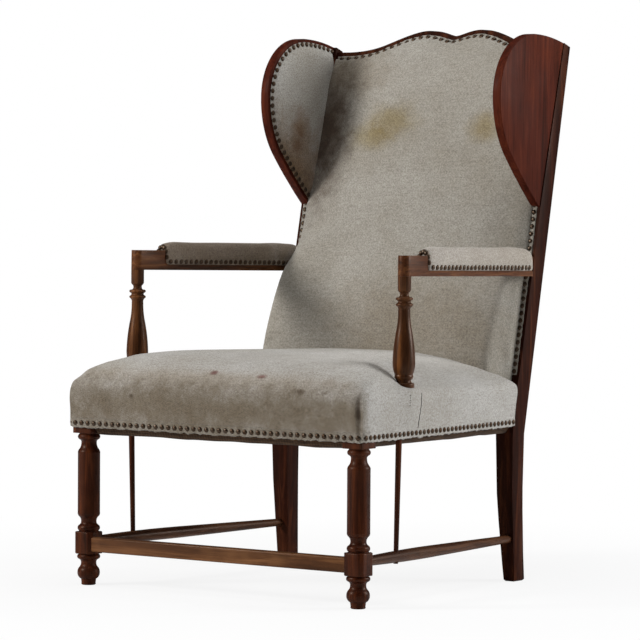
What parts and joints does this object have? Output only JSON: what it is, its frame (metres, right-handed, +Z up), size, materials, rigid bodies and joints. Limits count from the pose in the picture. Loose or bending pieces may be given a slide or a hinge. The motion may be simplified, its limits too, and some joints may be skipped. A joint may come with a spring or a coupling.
{
  "type": "wingback armchair",
  "caption": "High-backed wing armchair with turned front legs, slim arm posts, nailed wool cover, sprung seat and padded arms and wings.",
  "frame": {"origin": "on the floor under the middle of the chair's box", "axes": "+Z up; the chair faces -Y; +X is the sitter's left, the viewer's right from the front"},
  "size_m": [0.7242, 0.8576, 1.1315],
  "materials": {
    "stained_beech": "satin",
    "pale_beech": "matt",
    "cover_wool": "matt",
    "arm_cloth": "matt",
    "jute": "matt",
    "webbing": "matt",
    "steel": "satin"
  },
  "bodies": {
    "root": {"front_leg_left": "stained_beech", "front_leg_right": "stained_beech", "rear_leg_left": "stained_beech", "rear_leg_right": "stained_beech", "front_stretcher": "stained_beech", "side_stretcher_left": "stained_beech", "side_stretcher_right": "stained_beech", "support_rod_left": "stained_beech", "support_rod_right": "stained_beech", "crest_rail": "stained_beech", "wing_board_left": "stained_beech", "wing_board_right": "stained_beech", "arm_post_left": "stained_beech", "arm_post_right": "stained_beech", "arm_rail_left": "stained_beech", "arm_rail_right": "stained_beech", "seat_front_rail": "pale_beech", "seat_rear_rail": "pale_beech", "seat_side_rail_left": "pale_beech", "seat_side_rail_right": "pale_beech", "corner_blocks": "pale_beech", "back_lower_rail": "pale_beech", "wing_dowels": "pale_beech", "seat_cushion": "cover_wool", "back_cushion": "cover_wool", "outside_back": "cover_wool", "wing_pad_left": "cover_wool", "wing_pad_right": "cover_wool", "arm_pad_left": "arm_cloth", "arm_pad_right": "arm_cloth", "bottoming_cloth": "jute", "seat_webbing": "webbing", "back_webbing": "webbing", "seat_springs": "steel", "corner_block_screws": "steel", "arm_screws": "steel"}
  },
  "joints": []
}
